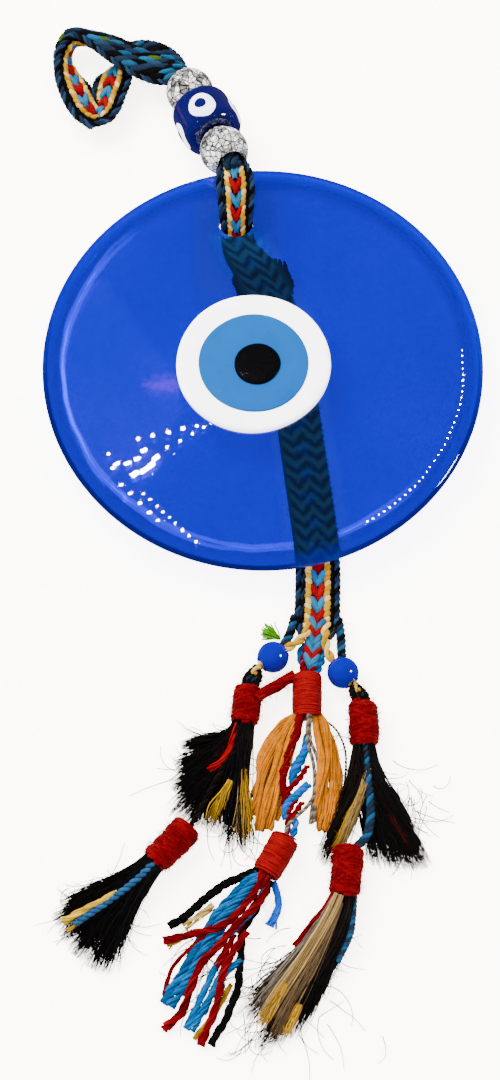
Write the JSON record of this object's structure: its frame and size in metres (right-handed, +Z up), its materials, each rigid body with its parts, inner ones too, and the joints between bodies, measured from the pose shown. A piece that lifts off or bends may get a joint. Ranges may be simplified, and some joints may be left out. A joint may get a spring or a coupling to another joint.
{
  "type": "evil eye ornament",
  "caption": "Flat blue glass eye disc on a woven strap with a hanging loop, glass and silver beads, and wool tassels below.",
  "frame": {"origin": "on the table under the middle of the ornament laid out flat", "axes": "+Z up from the table, +Y towards the hanging loop, +X to the right seen from above"},
  "size_m": [0.1209, 0.3025, 0.0209],
  "materials": {
    "cobalt_glass": "translucent cobalt glass, glossy, small bubbles",
    "white_glass": "opaque white glass, glossy",
    "sky_glass": "opaque light blue glass, glossy",
    "black_glass": "opaque black glass, glossy",
    "navy_glass": "opaque navy glass, glossy",
    "blue_bead_glass": "bright blue glass, glossy",
    "crackle_silver": "silvered, fine dark crackle",
    "woven_strap": "woven wool, chevrons of red and blue, cream and navy borders",
    "black_wool": "black wool",
    "navy_wool": "navy wool yarn",
    "cream_thread": "cream sewing thread",
    "gold_wool": "gold and cream plied yarn",
    "green_wool": "green wool",
    "dark_red_wool": "dark red felted wool",
    "bright_red_thread": "bright red wound thread",
    "orange_wool": "orange wool",
    "blue_wool": "blue wool yarn",
    "grey_wool": "grey-brown twisted cord",
    "tan_hair": "tan goat hair"
  },
  "bodies": {
    "strap": {"main_strap": "woven_strap", "stitched_fold": "black_wool", "fold_stitches": "cream_thread", "green_tuft": "green_wool", "left_gold_yarn": "gold_wool", "right_gold_yarn": "gold_wool", "left_edge_yarn": "navy_wool", "right_edge_yarn": "navy_wool"},
    "disc": {"glass_disc": "cobalt_glass", "white_eye": "white_glass", "blue_iris": "sky_glass", "black_pupil": "black_glass"},
    "loop": {"hanging_loop": "woven_strap"},
    "upper_bead": {"upper_silver_bead": "crackle_silver"},
    "barrel_bead": {"eye_bead": "navy_glass", "eye_bead_whites": "white_glass", "eye_bead_pupils": "navy_glass"},
    "lower_bead": {"lower_silver_bead": "crackle_silver"},
    "left_bead": {"left_blue_bead": "blue_bead_glass"},
    "right_bead": {"right_blue_bead": "blue_bead_glass"},
    "left_tassel": {"left_neck": "black_wool", "left_wrap": "dark_red_wool", "left_fringe": "black_wool", "left_red_strand": "dark_red_wool", "left_gold_strands": "gold_wool", "left_string": "black_wool", "red_link": "dark_red_wool"},
    "centre_tassel": {"centre_wrap": "bright_red_thread", "left_orange_skein": "orange_wool", "right_orange_skein": "orange_wool", "centre_red_strand": "dark_red_wool", "centre_blue_strand": "blue_wool", "centre_grey_cords": "grey_wool"},
    "right_tassel": {"right_neck": "black_wool", "right_wrap": "dark_red_wool", "right_fringe": "black_wool", "right_gold_strand": "gold_wool", "right_string": "navy_wool"},
    "lower_left_tassel": {"lower_left_wrap": "dark_red_wool", "lower_left_fringe": "black_wool", "lower_left_blue_yarn": "blue_wool", "lower_left_gold_yarn": "gold_wool"},
    "lower_centre_tassel": {"lower_centre_wrap": "bright_red_thread", "lower_centre_black_yarns": "black_wool", "lower_centre_blue_yarns": "blue_wool", "lower_centre_red_yarns": "dark_red_wool", "lower_centre_blue_tuft": "blue_wool"},
    "lower_right_tassel": {"lower_right_wrap": "dark_red_wool", "lower_right_fringe": "black_wool", "lower_right_tan_strands": "tan_hair", "lower_right_red_yarn": "dark_red_wool", "lower_right_navy_yarn": "navy_wool"}
  },
  "joints": [
    {"name": "disc_lift", "type": "hinge", "parent": "strap", "child": "disc", "pos_m": [-0.0066, 0.09, 0.00675], "axis": [-1, 0, 0], "range_deg": [0, 35]},
    {"name": "loop_swing", "type": "hinge", "parent": "strap", "child": "loop", "pos_m": [-0.02253, 0.14026, 0.00513], "axis": [0, 0, 1], "range_deg": [-20, 20]},
    {"name": "upper_bead_spin", "type": "hinge", "parent": "strap", "child": "upper_bead", "pos_m": [-0.02, 0.1342, 0.0069], "axis": [0.3714, -0.8913, 0.26], "continuous": true},
    {"name": "barrel_bead_spin", "type": "hinge", "parent": "strap", "child": "barrel_bead", "pos_m": [-0.015, 0.1222, 0.0104], "axis": [0.3714, -0.8913, 0.26], "continuous": true},
    {"name": "lower_bead_spin", "type": "hinge", "parent": "strap", "child": "lower_bead", "pos_m": [-0.01, 0.1102, 0.0139], "axis": [0.3714, -0.8913, 0.26], "continuous": true},
    {"name": "left_bead_spin", "type": "hinge", "parent": "strap", "child": "left_bead", "pos_m": [0.0033, -0.0374, 0.0043], "axis": [0.829, 0.5592, 0], "continuous": true},
    {"name": "right_bead_spin", "type": "hinge", "parent": "strap", "child": "right_bead", "pos_m": [0.0215, -0.0417, 0.0043], "axis": [0.6293, -0.7771, 0], "continuous": true},
    {"name": "left_tassel_swing", "type": "hinge", "parent": "strap", "child": "left_tassel", "pos_m": [-0.0007, -0.0401, 0.0043], "axis": [0, 0, 1], "range_deg": [-40, 0]},
    {"name": "centre_tassel_lift", "type": "hinge", "parent": "strap", "child": "centre_tassel", "pos_m": [0.0128, -0.04, 0.00415], "axis": [-1, 0, 0], "range_deg": [0, 45]},
    {"name": "right_tassel_swing", "type": "hinge", "parent": "strap", "child": "right_tassel", "pos_m": [0.0242, -0.045, 0.0043], "axis": [0, 0, 1], "range_deg": [0, 40]},
    {"name": "lower_left_swing", "type": "hinge", "parent": "left_tassel", "child": "lower_left_tassel", "pos_m": [-0.017, -0.0816, 0.0042], "axis": [0, 0, 1], "range_deg": [-25, 10]},
    {"name": "lower_centre_lift", "type": "hinge", "parent": "centre_tassel", "child": "lower_centre_tassel", "pos_m": [0.0073, -0.0845, 0.00385], "axis": [-0.8694, 0.4942, 0], "range_deg": [0, 50]},
    {"name": "lower_right_lift", "type": "hinge", "parent": "right_tassel", "child": "lower_right_tassel", "pos_m": [0.0223, -0.0868, 0.0042], "axis": [-0.9962, 0.087, 0], "range_deg": [0, 50]}
  ]
}
